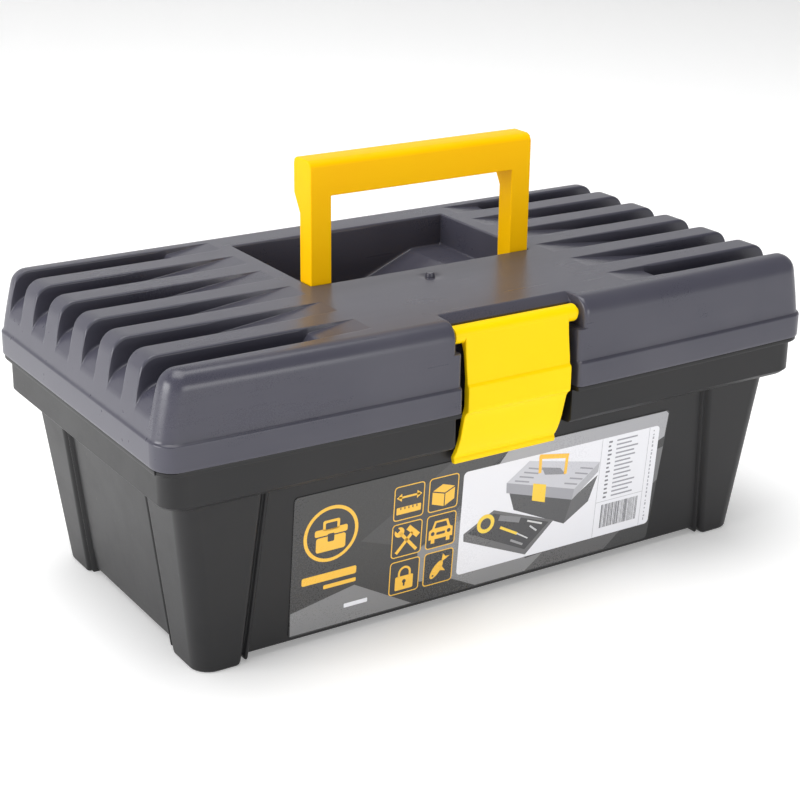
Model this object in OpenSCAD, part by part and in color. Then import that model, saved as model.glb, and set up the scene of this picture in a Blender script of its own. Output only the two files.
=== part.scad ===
// Twelve-inch moulded toolbox with a lift-out tray.
// Frame: +X along the box to the right, -Y to the front (latch side), +Z up,
// origin on the floor under the middle of the overall box.

/* [Box] */
// Overall length, at the lid's skirt
box_l = 312; // [290:1:340]
// Overall depth, from the bowed front skirt to the hinge knuckles
box_w = 167; // [160:1:180]
// Height from the feet to the tops of the lid's ridges
box_h = 130; // [126:1:140]
// Wall thickness of the mouldings
wall = 2.2; // [1.8:0.1:2.6]

/* [Lid] */
// How far the front skirt bows out between its corners
front_bow = 2.8; // [0:0.1:4]
// Spacing of the ridges on the lid
ridge_pitch = 24.9; // [22:0.1:26]
// Width of the flat top of one ridge
ridge_w = 11.8; // [9:0.1:13]
// Depth of the channels between the ridges
channel_d = 10.4; // [6:0.1:12]

/* [Handle] */
// Outside width of the handle
handle_w = 108.4; // [90:0.2:120]
// Height of the upright handle above its pivots
handle_reach = 56; // [45:0.5:56]
// Width of one leg
leg_w = 9.6; // [8:0.1:12]

/* [Latch] */
// Width of the latch plate
latch_w = 50; // [40:1:54]

/* [Tray] */
// Depth of the tray
tray_depth = 31; // [20:1:36]
// Wall thickness of the tray
tray_wall = 1.8; // [1.4:0.1:2.4]

/* [Hidden] */
$fn = 48;
eps = 0.01;
gap = 0.3;

half_l = box_l / 2;
bay_x = 28.3;                // half width of the latch bay
front_y = -box_w / 2 - front_bow * pow(bay_x / half_l, 2);  // the latch bay cuts away the middle of the bow
rim_z = box_h - 36.5;        // where lid and tub meet
skirt_h = 10.4;
skirt_z = rim_z + skirt_h;
step = 0.8;                  // the lid's upper walls stand this far inside its skirt
top_r = 7;                   // rounding along the lid's top edges
end_lean = 3.8;              // the lid's ends and back lean in by this much up to that rounding
back_lean = 1.5;

// Rear hinge
knuckle_r = 2.9;
pin_r = 1.25;
hinge_y = box_w / 2 - knuckle_r;
hinge_x = 92;                // middle of each hinge
lid_knuckle_l = 16;
tub_knuckle_l = 9;
knuckle_gap = 0.3;
running = 0.05;

// Channels: they start at nothing, sink along a ramp, drop to their floor and roll over the lid's end
ramp_x = 62;
drop_x = 107;                // the four inner channels on each side
outer_drop_x = 79;           // the two outer ones
drop_run = 5;
ramp_fall = 5.4;             // depth at the foot of a ramp
ramp_slope = 0.12;
end_r = 9.5;

// Handle well in the lid
well_x = handle_w / 2 + 0.25;
well_front = -10.5;
well_back = 58.3;
shelf_z = box_h - 14.6;
pocket_z = box_h - 26;
shelf_x = 37.6;
pocket_x = 10;

// Handle pivots
pivot_y = -5.3;
pivot_z = box_h - 5;
leg_r = 4.8;
grip_front = pivot_y - leg_r;
grip_back = pivot_y + 9;
leg_back = pivot_y + 4.3;
grip_h = 14.2;
trunnion_r = 3;

// Latch bay and barrel
socket_x = 31;
socket_z = box_h - 12.5;
bay_y = -71.4;
bevel_y = bay_y + 3.4;       // the bay's back edge is bevelled up to the lid's top
bevel_z = box_h - 3.5;
barrel = [-75.5, box_h - 6.5];
barrel_r = 3.6;
barrel_half = 29.6;
stub_r = 1.8;

// Tub
foot_h = 3;
floor_z = foot_h + wall;
post_x0 = 136;               // corner posts at the floor and under the collar
post_y0 = 65;
post_x1 = 145.4;
post_y1 = 71.6;
recess = 2;                  // the wall panels stand this far behind the posts
collar_z = rim_z - 17.2;
collar_x = 153.2;
collar_y = 78.8;
ledge_z = collar_z + wall;
rim_t = 2;
rim_in = 0.45;
upstand = 3;
corner_x0 = 116.5;           // the posts' inner edges at the floor and under the collar
corner_y0 = 40;
corner_x1 = 108.8;
corner_y1 = 38.8;
tub_bay_y0 = -69.9;          // wall behind the latch, under the collar and at the rim
tub_bay_y1 = -71.2;
tub_bay_back = -67.6;

// Tray
tray_top = ledge_z + 2.4;
tray_x = 149.8;
tray_y = 75.2;
tray_notch_x = 33;           // the tray's front edge steps back round the latch bay
tray_notch_y = -64.6;
tray_body_x = 133;           // outside of the compartments, halfway up their taper
tray_body_y = 60;
left_w = 74;                 // compartments: one across the left end, four behind, two in front
rear_pitch = 47.5;
rear_w = 45.5;
rear_last_w = 44;
rear_y = 12;
rear_d = 46;
front_w = 144;
front_right_w = 42;
front_d = 69;
divider = 2;

// Label on the front panel
label_t = 0.3;
label_gap = 0.01;            // glue line
label_outline = [[-96, 2], [86, 2], [90.5, 64.5], [-95.5, 64.5]];

// Plan outline with round corners and an optional bowed front
function arc(cx, cy, r, a0, n = 6) =
    [for (i = [0:n]) let (a = a0 + 90 * i / n) [cx + r * cos(a), cy + r * sin(a)]];
function bowed(x, yf, yb, r, bow) = concat(
    arc(x - r, yb - r, r, 0),
    arc(-x + r, yb - r, r, 90),
    arc(-x + r, yf + bow + r, r, 180),
    [for (i = [1:9]) let (t = -1 + i / 5) [t * (x - r), yf + bow * t * t]],
    arc(x - r, yf + bow + r, r, 270));

module plate(x, yf, yb, r, bow, z, t = eps) {
    translate([0, 0, z]) linear_extrude(t) polygon(bowed(x, yf, yb, r, bow));
}

module round_box(x, y, r, z0, z1) {
    translate([0, 0, z0]) linear_extrude(z1 - z0) polygon(bowed(x, -y, y, r, 0));
}

// A body with straight tapered walls between two rounded rectangles
module tapered(x0, y0, z0, x1, y1, z1, r) {
    hull() {
        round_box(x0, y0, r, z0, z0 + eps);
        round_box(x1, y1, r, z1 - eps, z1);
    }
}

// Extrude an outline drawn in X and Z from y0 to y1
module along_y(y0, y1) {
    translate([0, y1, 0]) rotate([90, 0, 0]) linear_extrude(y1 - y0) children();
}

// Extrude an outline drawn in Y and Z from x0 to x1
module along_x(x0, x1) {
    translate([x0, 0, 0]) rotate([90, 0, 90]) linear_extrude(x1 - x0) children();
}

module rod(x0, x1, y, z, r) {
    translate([x0, y, z]) rotate([0, 90, 0]) cylinder(r = r, h = x1 - x0);
}

module both_ends() {
    children();
    mirror([1, 0, 0]) children();
}

// ---------------------------------------------------------------- lid

// Solid form of the lid, shrunk on all sides by t
module lid_form(t) {
    x = half_l - step - t;
    yf = front_y + 1.5 + t;
    yb = hinge_y - 0.6 - t;
    hull() {
        plate(x, yf, yb, 8 - t, front_bow, skirt_z - 1);
        for (a = [0, 30, 60, 90]) {
            in = (top_r - t) * (1 - cos(a));
            z = box_h - top_r + (top_r - t) * sin(a) - eps;
            plate(x - end_lean - in, yf + in, yb - back_lean - in, 8 - t, front_bow, z);
        }
    }
}

// Space of one channel, seen from the front; t thickens it downwards
module channel_outline(foot_x, t) {
    floor_ch = box_h - channel_d;
    foot_z = box_h - ramp_fall + (drop_x - foot_x) * ramp_slope;
    cx = half_l - step - end_lean / 3 - end_r;
    polygon(concat(
        [[ramp_x - t, box_h + 1], [ramp_x - t, box_h - t], [foot_x - t, foot_z - t],
         [foot_x + drop_run - t, floor_ch - t]],
        [for (i = [0:5]) [cx + (end_r - t) * sin(18 * i), floor_ch - end_r + (end_r - t) * cos(18 * i)]],
        [[half_l + 1, floor_ch - end_r], [half_l + 1, box_h + 1]]));
}

module channels(t) {
    half_w = (ridge_pitch - ridge_w) / 2 + t;
    for (k = [-2.5:2.5])
        both_ends()
            along_y(k * ridge_pitch - half_w, k * ridge_pitch + half_w)
                channel_outline(abs(k) > 2 ? outer_drop_x : drop_x, t);
}

// Space of the handle well; t thickens its walls and floor
module well(t) {
    along_y(well_front - t, well_back + t)
        polygon([[-well_x - t, box_h + 1], [-well_x - t, shelf_z - t],
                 [-shelf_x, shelf_z - t], [-pocket_x, pocket_z - t],
                 [pocket_x, pocket_z - t], [shelf_x, shelf_z - t],
                 [well_x + t, shelf_z - t], [well_x + t, box_h + 1]]);
}

// Outline of the latch bay above z0, seen from the end
module bay_outline(z0, t) {
    y0 = front_y - 1;
    polygon([[y0, z0], [bay_y + t, z0], [bay_y + t, bevel_z],
             [bevel_y + t, box_h + eps], [bevel_y + t, box_h + 1], [y0, box_h + 1]]);
}

// Space of the latch bay in the lid's front, wider where the latch is hung
module lid_bay(t) {
    along_x(-bay_x - t, bay_x + t) bay_outline(rim_z - 1, t);
    along_x(-socket_x - t, socket_x + t) bay_outline(socket_z - t, t);
}

// Places of the tub's knuckles, on both sides of each of the lid's
module at_tub_knuckles() {
    beside = lid_knuckle_l / 2 + knuckle_gap + tub_knuckle_l / 2;
    for (s = [-1, 1], e = [-1, 1])
        translate([s * hinge_x + e * beside, 0, 0]) children();
}

module lid_knuckles() {
    for (s = [-1, 1])
        rod(s * hinge_x - lid_knuckle_l / 2, s * hinge_x + lid_knuckle_l / 2, hinge_y, rim_z, knuckle_r);
}

module lid() {
    color([0.34, 0.34, 0.38]) difference() {
        union() {
            difference() {
                union() {
                    lid_form(0);
                    plate(half_l, front_y, hinge_y, 7, front_bow, rim_z, skirt_h);
                }
                difference() {
                    union() {
                        lid_form(wall);
                        plate(half_l - wall, front_y + wall, hinge_y - wall, 6, front_bow,
                              rim_z - 1, skirt_h + 1.5);
                    }
                    channels(wall);
                    well(wall);
                    lid_bay(wall);
                }
            }
            lid_knuckles();
        }
        channels(0);
        well(0);
        lid_bay(0);
        // clearance for the tub's knuckles beside each lid knuckle
        at_tub_knuckles()
            rod(-tub_knuckle_l / 2 - knuckle_gap, tub_knuckle_l / 2 + knuckle_gap,
                hinge_y, rim_z, knuckle_r + gap);
        // pin bores, pivot bores of the handle and sockets of the latch
        both_ends() rod(hinge_x - lid_knuckle_l, hinge_x + lid_knuckle_l, hinge_y, rim_z, pin_r + running);
        both_ends() rod(well_x - 1, well_x + wall + 1, pivot_y, pivot_z, trunnion_r + running);
        both_ends() rod(socket_x - 1, socket_x + wall + 1, barrel[0], barrel[1], stub_r + running);
    }
}

// ---------------------------------------------------------------- tub

// Corner regions that hold the posts: the gaps between them taper towards the collar
module post_corners() {
    intersection() {
        both_ends() along_y(-collar_y, collar_y)
            polygon([[corner_x0, -1], [corner_x1, ledge_z], [half_l, ledge_z], [half_l, -1]]);
        for (s = [0, 1]) mirror([0, s, 0]) along_x(-half_l, half_l)
            polygon([[corner_y0, -1], [corner_y1, ledge_z], [collar_y, ledge_z], [collar_y, -1]]);
    }
}

// Space in front of the tub's wall behind the latch, following the swing of the lid about its hinge
module tub_bay() {
    front = -collar_y - 9;
    along_x(-bay_x, bay_x)
        polygon([[front, collar_z - 1], [tub_bay_y0, collar_z - 1],
                 [tub_bay_y1, rim_z + 9], [front, rim_z + 9]]);
    // the upstand stops where the walls of the lid's bay come down
    along_x(-bay_x - wall - gap, bay_x + wall + gap)
        polygon([[front, rim_z], [tub_bay_back + 2 * wall, rim_z],
                 [tub_bay_back + 2 * wall, rim_z + 9], [front, rim_z + 9]]);
}

module tub() {
    color([0.17, 0.17, 0.175]) difference() {
        union() {
            tapered(post_x0 - recess, post_y0 - recess, foot_h,
                    post_x1 - recess, post_y1 - recess, ledge_z, 7);
            intersection() {
                tapered(post_x0, post_y0, 0, post_x1, post_y1, ledge_z, 8);
                post_corners();
            }
            // collar, rim flange and the upstand that guides the lid
            difference() {
                union() {
                    hull() {
                        round_box(collar_x - 1.4, collar_y - 1.4, 10, collar_z, collar_z + eps);
                        round_box(collar_x, collar_y, 10, collar_z + 2, rim_z - rim_t);
                    }
                    plate(half_l - rim_in, front_y + rim_in, hinge_y - rim_in, 7, front_bow,
                          rim_z - rim_t, rim_t);
                    round_box(collar_x - 0.2, collar_y - 0.8, 9, rim_z - 1, rim_z + upstand);
                }
                tub_bay();
                // room for the lid's knuckles
                for (s = [-1, 1])
                    translate([s * hinge_x, 0, 0])
                        rod(-lid_knuckle_l / 2 - knuckle_gap, lid_knuckle_l / 2 + knuckle_gap,
                            hinge_y, rim_z, knuckle_r + gap);
            }
            // wall of the latch bay
            along_x(-bay_x - wall, bay_x + wall)
                polygon([[tub_bay_y0, collar_z], [tub_bay_y1, rim_z],
                         [tub_bay_back, rim_z], [tub_bay_back, collar_z]]);
            // tub knuckles
            at_tub_knuckles() rod(-tub_knuckle_l / 2, tub_knuckle_l / 2, hinge_y, rim_z, knuckle_r);
        }
        // main hollow, then the wider hollow inside the collar with the bay's wall left standing
        tapered(post_x0 - recess - wall, post_y0 - recess - wall, floor_z,
                post_x1 - recess - wall, post_y1 - recess - wall, ledge_z + eps, 5);
        difference() {
            round_box(collar_x - wall, collar_y - wall, 8, ledge_z, rim_z + upstand + 1);
            along_x(-bay_x - wall, bay_x + wall)
                polygon([[-collar_y, collar_z], [-collar_y, rim_z + 9],
                         [tub_bay_back, rim_z + 9], [tub_bay_back, collar_z]]);
        }
        // bores of the hinge pins
        at_tub_knuckles() rod(-tub_knuckle_l, tub_knuckle_l, hinge_y, rim_z, pin_r);
    }
}

module hinge_pin() {
    color([0.7, 0.7, 0.72])
        rod(hinge_x - lid_knuckle_l / 2 - tub_knuckle_l, hinge_x + lid_knuckle_l / 2 + tub_knuckle_l,
            hinge_y, rim_z, pin_r);
}

module hinge_pin_left() {
    mirror([1, 0, 0]) hinge_pin();
}

module hinge_pin_right() {
    hinge_pin();
}

// ---------------------------------------------------------------- handle

// One leg with its stepped back, seen from the end
module leg_outline() {
    grip_z = pivot_z + handle_reach - grip_h;
    top = pivot_z + handle_reach;
    polygon([[grip_front, pivot_z], [grip_front, top - 3], [grip_front + 3, top],
             [grip_back - 2, top], [grip_back, top - 2],
             [grip_back, grip_z + 1], [leg_back, grip_z - 7], [leg_back, pivot_z]]);
    translate([pivot_y, pivot_z]) circle(r = leg_r);
}

module handle() {
    grip_z = pivot_z + handle_reach - grip_h;
    color([1, 0.76, 0.02]) difference() {
        union() {
            both_ends() along_x(handle_w / 2 - leg_w, handle_w / 2) leg_outline();
            along_x(-handle_w / 2 + 1, handle_w / 2 - 1)
                intersection() {
                    leg_outline();
                    translate([grip_front, grip_z]) square([leg_r * 4, grip_h]);
                }
            both_ends() rod(handle_w / 2 - 1, handle_w / 2 + wall + 1.2, pivot_y, pivot_z, trunnion_r);
        }
        // the legs' backs stand in front of the well's corners
        along_x(-handle_w, handle_w)
            polygon([[leg_back, pivot_z - 9], [leg_back, pivot_z + 6],
                     [grip_back, pivot_z + 6], [grip_back, pivot_z - 9]]);
    }
}

// ---------------------------------------------------------------- latch

module latch() {
    color([1, 0.86, 0.06]) {
        rod(-barrel_half, barrel_half, barrel[0], barrel[1], barrel_r);
        rod(-barrel_half - wall - 1, barrel_half + wall + 1, barrel[0], barrel[1], stub_r);
        // S-shaped plate with a raised band and an outward lip at its foot
        along_x(-latch_w / 2, latch_w / 2)
            polygon([
                // outer face, from the barrel down to the lip
                [-79.1, barrel[1]], [-79.5, 116], [-80.9, 107], [-81, 103.8], [-82.1, 103.2],
                [-82.2, 92.6], [-80.6, 91.4], [-79, 89], [-78, 84], [-76.3, 77], [-73.4, 71.4],
                [-72.4, 70.4], [-73.2, 69.4], [-73.2, 67.8], [-71, 67.6],
                // inner face, back up to the barrel
                [-70.3, 70.4], [-74.1, 77.6], [-75.8, 84], [-77, 90], [-78.6, 94], [-78.6, 106],
                [-77.4, 116], [-75.8, barrel[1] - 1]]);
    }
}

// ---------------------------------------------------------------- tray

// Front notch that clears the wall of the latch bay
module tray_front_notch(t) {
    translate([-tray_notch_x - t, -tray_y - 5, tray_top - tray_depth - 1])
        cube([2 * (tray_notch_x + t), tray_y + 5 + tray_notch_y + t, tray_depth + 2]);
}

// One compartment from its corner at the front left
module compartment(x, y, w, d, r = 5) {
    translate([0, 0, tray_top - tray_depth + tray_wall]) linear_extrude(tray_depth)
        translate([x + w / 2, y + d / 2]) polygon(bowed(w / 2, -d / 2, d / 2, r, 0));
}

module tray() {
    x0 = -tray_body_x + 1;
    y0 = -tray_body_y + 1;
    x1 = x0 + left_w + divider;
    color([0.2, 0.2, 0.205]) difference() {
        union() {
            difference() {
                tapered(tray_body_x - 2, tray_body_y - 2, tray_top - tray_depth,
                        tray_body_x + 4, tray_body_y + 3.4, tray_top, 8);
                tray_front_notch(0);
            }
            difference() {
                round_box(tray_x, tray_y, 8, ledge_z + 0.2, tray_top);
                tray_front_notch(0);
            }
        }
        compartment(x0, y0, left_w, rear_y + rear_d - y0);
        for (i = [0:3]) compartment(x1 + i * rear_pitch, rear_y, i == 3 ? rear_last_w : rear_w, rear_d);
        compartment(x1, y0, front_w, front_d);
        compartment(x1 + front_w + divider, y0, front_right_w, front_d);
    }
}

// ---------------------------------------------------------------- label

// Sticker on the front panel, following the panel's taper
module label() {
    tilt = atan((post_y1 - post_y0) / (ledge_z - foot_h));
    color([0.75, 0.75, 0.77]) translate([0, -(post_y0 - recess) - label_gap, foot_h])
        rotate([90 + tilt, 0, 0])
        linear_extrude(label_t) polygon(label_outline);
}

tub();
lid();
handle();
latch();
tray();
label();
hinge_pin_left();
hinge_pin_right();
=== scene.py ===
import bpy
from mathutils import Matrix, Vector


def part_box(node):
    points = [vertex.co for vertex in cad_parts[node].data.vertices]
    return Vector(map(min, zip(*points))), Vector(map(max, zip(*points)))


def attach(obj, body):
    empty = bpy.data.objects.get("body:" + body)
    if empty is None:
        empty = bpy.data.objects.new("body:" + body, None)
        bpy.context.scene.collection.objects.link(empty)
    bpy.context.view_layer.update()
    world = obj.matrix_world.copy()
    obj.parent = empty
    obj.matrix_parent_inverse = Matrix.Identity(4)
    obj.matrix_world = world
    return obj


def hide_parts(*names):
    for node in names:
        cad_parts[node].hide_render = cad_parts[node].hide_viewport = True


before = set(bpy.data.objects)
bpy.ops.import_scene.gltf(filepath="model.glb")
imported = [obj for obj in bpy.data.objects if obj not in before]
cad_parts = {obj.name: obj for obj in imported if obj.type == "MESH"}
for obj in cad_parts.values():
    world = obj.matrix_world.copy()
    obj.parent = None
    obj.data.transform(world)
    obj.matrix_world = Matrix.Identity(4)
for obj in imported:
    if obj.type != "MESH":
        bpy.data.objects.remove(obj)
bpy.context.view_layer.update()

from math import atan2, copysign, cos, hypot, pi, radians, sin, tau

import bmesh
import bpy
from mathutils import Matrix, Vector

scene = bpy.context.scene

# -------- tub
# The tub is one injection moulding in black polypropylene: a tapered box with four corner
# posts that end in feet, a collar under the rim, and a wall set back behind the latch.
# Its satin skin comes from the spark-eroded mould.

MM = 0.001
wall = 2.2
rim_z = 93.5
half_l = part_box("lid")[1].x / MM
bow = 2.8
bay_x = 28.3


def bowed(x):
    """How far the front edge falls back at x, in millimetres."""
    return bow * (x / 147.2) ** 2


def mix(a, b, share):
    return a + (b - a) * share


def edge_profile(depth, round_out, round_in, draft):
    """Points down the side of a hollow: the distance out from its wall, and the share of its depth."""
    turns = [radians(a) for a in (90, 66, 44, 22, 0)]
    top = [(round_out * (1 - cos(a)), round_out * (1 - sin(a)) / depth) for a in turns]
    foot = [(-draft - round_in * (1 - sin(a)), 1 - round_in * (1 - cos(a)) / depth) for a in turns]
    return top + foot


def across(half):
    """A full set of lines from the ones on the positive side, which may start at the middle."""
    return [(-place, *rest) for place, *rest in reversed(half) if place != 0] + list(half)


def turned_round(n_x, n_y, n_corner=7):
    """Columns round a moulding, each with its grid line numbers and the way it faces in degrees."""
    sides = ([(i, 0, -90) for i in range(n_x)], [(n_x - 1, j, 0) for j in range(n_y)],
             [(i, n_y - 1, 90) for i in reversed(range(n_x))], [(0, j, 180) for j in reversed(range(n_y))])
    columns = []
    for side in sides:
        i, j, facing = side[-1]
        columns += side + [(i, j, facing + 90 * m / n_corner) for m in range(1, n_corner)]
    return columns


def added(name, data):
    """A new object in the scene."""
    made = bpy.data.objects.new(name, data)
    scene.collection.objects.link(made)
    return made


def new_piece(name, points, faces, **attributes):
    """A closed mesh from points in millimetres, with its faces turned outwards."""
    mesh = bpy.data.meshes.new(name)
    mesh.from_pydata([[c * MM for c in p] for p in points], [], faces)
    for key, values in attributes.items():
        if key == "ink":
            each = [c for face, shade in zip(faces, values) for _ in face for c in (*shade, 1.0)]
            mesh.attributes.new(key, "FLOAT_COLOR", "CORNER").data.foreach_set("color", each)
        elif isinstance(values[0], float):
            mesh.attributes.new(key, "FLOAT", "POINT").data.foreach_set("value", values)
        else:
            flat = [c * MM for v in values for c in v]
            mesh.attributes.new(key, "FLOAT_VECTOR", "POINT").data.foreach_set("vector", flat)
    work = bmesh.new()
    work.from_mesh(mesh)
    bmesh.ops.remove_doubles(work, verts=work.verts, dist=2e-6)
    bmesh.ops.recalc_face_normals(work, faces=work.faces)
    work.to_mesh(mesh)
    work.free()
    return added(name, mesh)


def cup(name, n_x, n_y, first, rings, last, extra=None):
    """The skin of a cup: a grid over its closed end, rings out to the rim and back in, and a grid inside."""
    columns = turned_round(n_x, n_y)
    points, marks, faces = [], [], []

    def add(found):
        points.append(found[0])
        marks.append(found[1:])
        return len(points) - 1

    def join(before, after):
        for k in range(len(columns)):
            n = (k + 1) % len(columns)
            corners = list(dict.fromkeys((before[k], before[n], after[n], after[k])))
            if len(corners) > 2:
                faces.append(corners)

    def grid(place):
        number = [[add(place(i, j)) for j in range(n_y)] for i in range(n_x)]
        for i in range(n_x - 1):
            for j in range(n_y - 1):
                faces.append([number[i][j], number[i + 1][j], number[i + 1][j + 1], number[i][j + 1]])
        return [number[i][j] for i, j, _ in columns]

    row = grid(first)
    for ring in rings:
        after = [add(ring(*column)) for column in columns]
        join(row, after)
        row = after
    join(row, grid(last))
    attributes = {key: [m[k] for m in marks] for k, key in enumerate(extra or ())}
    return new_piece(name, points, faces, **attributes)


def soften(piece, sharp=40):
    """Shades a moulding smooth, with its flats kept flat and its hard edges hard."""
    mesh = piece.data
    mesh.polygons.foreach_set("use_smooth", [True] * len(mesh.polygons))
    mesh.set_sharp_from_angle(angle=radians(sharp))
    weighted = piece.modifiers.new("flats", "WEIGHTED_NORMAL")
    weighted.keep_sharp = True
    weighted.weight = 90


class Value:
    """A number that changes over a surface or a shape, so that it can be written in sums."""

    def __init__(self, graph, socket):
        self.graph, self.socket = graph, socket

    def sum(self, operation, a, b):
        return self.graph.node("ShaderNodeMath", {"operation": operation}, {0: a, 1: b})

    def __add__(self, other):
        return self.sum("ADD", self, other)

    def __sub__(self, other):
        return self.sum("SUBTRACT", self, other)

    def __rsub__(self, other):
        return self.sum("SUBTRACT", other, self)

    def __mul__(self, other):
        return self.sum("MULTIPLY", self, other)

    def __truediv__(self, other):
        return self.sum("DIVIDE", self, other)

    __radd__, __rmul__ = __add__, __mul__


class Graph:
    """A tree of nodes, for a finish or for a shape."""

    def __init__(self, tree):
        self.tree = tree

    def node(self, kind, settings=(), sockets=(), out=0):
        made = self.tree.nodes.new(kind)
        for key, value in dict(settings).items():
            if key == "stops":
                while len(made.color_ramp.elements) < len(value):
                    made.color_ramp.elements.new(0.5)
                for element, (place, grey) in zip(made.color_ramp.elements, value):
                    element.position, element.color = place, (grey, grey, grey, 1)
            elif key == "curve":
                points = made.mapping.curves[0].points
                while len(points) < len(value):
                    points.new(0.5, 0.5)
                for point, place in zip(points, value):
                    point.location, point.handle_type = place, "VECTOR"
                made.mapping.update()
            else:
                setattr(made, key, value)
        for key, value in dict(sockets).items():
            self.feed(made.inputs[key], value)
        return Value(self, made.outputs[out])

    def feed(self, socket, value):
        if isinstance(value, Value):
            self.tree.links.new(value.socket, socket)
        else:
            socket.default_value = value


class Finish(Graph):
    """The surface of one material, on a Principled shader."""

    def __init__(self, name, **constants):
        self.material = bpy.data.materials.new(name)
        self.material.use_nodes = True
        super().__init__(self.material.node_tree)
        self.shader = next(n for n in self.tree.nodes if n.type == "BSDF_PRINCIPLED")
        for key, value in constants.items():
            self.shader.inputs[key.replace("_", " ")].default_value = value
        self.place = self.node("ShaderNodeTexCoord", out="Object")

    def noise(self, scale, detail=2.0, stretch=(1, 1, 1), rough=0.5):
        place = self.node("ShaderNodeMapping", {}, {"Vector": self.place, "Scale": stretch})
        return self.node("ShaderNodeTexNoise", {}, {"Vector": place, "Scale": scale, "Detail": detail,
                                                    "Roughness": rough})

    def ramp(self, value, *stops):
        return self.node("ShaderNodeValToRGB", {"stops": stops}, {"Fac": value})

    def colours(self, share, a, b):
        return self.node("ShaderNodeMix", {"data_type": "RGBA"}, {0: share, 6: a, 7: b}, out=2)

    def surface(self, colour, rough=None, bumps=()):
        """Links what changes over the surface; bumps are (height, depth in millimetres) pairs."""
        normal = None
        for height, depth in bumps:
            sockets = {"Height": height, "Distance": depth * MM}
            if normal:
                sockets["Normal"] = normal
            normal = self.node("ShaderNodeBump", {}, sockets)
        for key, value in (("Base Color", colour), ("Roughness", rough), ("Normal", normal)):
            if value is not None:
                self.feed(self.shader.inputs[key], value)
        return self.material


def moulded(name, colour, faded, rough, grain=0.012, haze=0.05, shine=0.5):
    """Moulded plastic: slow shifts of tone, a fine eroded grain, faint rubbed streaks and stray scratches."""
    finish = Finish(name, IOR=1.49, Specular_IOR_Level=shine)
    drift = finish.ramp(finish.noise(22, 3), (0.35, 0), (0.7, 1))
    streaks = finish.ramp(finish.noise(60, 4, (0.16, 1, 1), 0.65), (0.45, 0), (0.75, 1))
    scratch = finish.ramp(finish.noise(420, 2, (0.05, 1, 0.7)), (0.70, 0), (0.78, 1))
    fine = finish.noise(2600, 2)
    tone = finish.colours(drift * 0.55 + streaks * 0.25, (*colour, 1), (*faded, 1))
    return finish.surface(tone, drift * haze + streaks * haze - scratch * 0.08 + fine * 0.06 + (rough - 0.03),
                          ((fine, grain), (scratch, 0.006), (finish.noise(34, 1), 0.05)))


def bound(piece, body, slot, material, *nodes):
    """Fixes a finished piece to its body, gives it the material if it has none and hides the parts it
    replaces; slot is not used.
    """
    if not piece.data.materials:
        piece.data.materials.append(material)
    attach(piece, body)
    if nodes:
        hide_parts(*nodes)


# from a panel up onto a post: a small bead, a fine groove and a rounded rise, as (offset, share of the rise)
post_profile = [(-3.15, 0.0), (-2.6, 0.04), (-2.3, 0.25), (-1.95, 0.55), (-1.5, 0.66), (-1.05, 0.6),
                (-0.75, 0.4), (-0.45, 0.12), (0.0, 0.0), (0.45, 0.1), (0.9, 0.4), (1.5, 0.74),
                (2.2, 0.93), (3.15, 1.0)]
bay_edge = [(-1.2, 1.0), (-0.5, 0.97), (-0.1, 0.9), (0.0, 0.12), (0.3, 0.03), (1.0, 0.0)]
knuckle_from, knuckle_to, edge_gap = 83.6, 100.2, 0.2

# every line across the tub: its side, kind, place or offset, share of a post, and share of the latch bay
tub_x = [("mid", 0, 0, 1), ("mid", 15, 0, 1)]
tub_x += [("bay", off, 0, share) for off, share in bay_edge]
tub_x += [("mid", x, 0, 0) for x in (50, 75, knuckle_from, 83.8, knuckle_to, 100.4)]
tub_x += [("post", off, share, 0) for off, share in post_profile] + [("end", 0, 1, 0)]
tub_x = [(-1, *line) for line in reversed(tub_x[1:])] + [(1, *line) for line in tub_x]
tub_y = [("mid", 0, 0)] + [("post", off, share) for off, share in post_profile] + [("end", 0, 1)]
tub_y = [(-1, *line) for line in reversed(tub_y[1:])] + [(1, *line) for line in tub_y]
collar_z = 78.5
post_foot, post_top = (116.5, 40), (108.8, 38.8)


def tub_level(z, x, front, back, r=8.0, panel_z=None, recess=0.0, bay=None, inner=0.0, bows=0.0,
              hinge=False):
    """One ring round the tub, with the places of its lines; bay is (y, z) behind the latch."""
    panel_z = z if panel_z is None else panel_z
    post_x, post_y = (mix(foot, top, min(z, collar_z) / collar_z) for foot, top in zip(post_foot, post_top))

    def line_x(i):
        side, kind, value, _, _ = tub_x[i]
        return side * {"mid": value, "bay": bay_x + value + inner, "post": post_x + value, "end": x - r}[kind]

    def line_y(j):
        side, kind, value, _ = tub_y[j]
        end = back - r if side > 0 else -(front + r)
        return side * {"mid": value, "post": post_y + value, "end": end}[kind]

    def at(i, j, facing):
        out = Vector((cos(radians(facing)), sin(radians(facing))))
        on_post = tub_x[i][3] if j in (0, len(tub_y) - 1) and facing % 180 else tub_y[j][3]
        if facing % 90:
            on_post = 1
        reach = r - recess * (1 - on_post)
        px, py = line_x(i) + out.x * reach, line_y(j) + out.y * reach
        pz = mix(panel_z, z, on_post)
        if facing == -90:
            py += bows * bowed(px)
            if bay:
                py, pz = mix(py, bay[0], tub_x[i][4]), mix(pz, bay[1], tub_x[i][4])
        elif -90 < facing < 0 or facing > 180:
            py += bows * bow
        if hinge and facing == 90 and knuckle_from < abs(px) - edge_gap / 2 < knuckle_to:
            py = min(py, hinge)
        return ((px, py, pz),)

    at.line_x, at.line_y = line_x, line_y
    return at


def taper(z, x0, x1, z0=0.0, z1=collar_z):
    return mix(x0, x1, (z - z0) / (z1 - z0))


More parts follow.
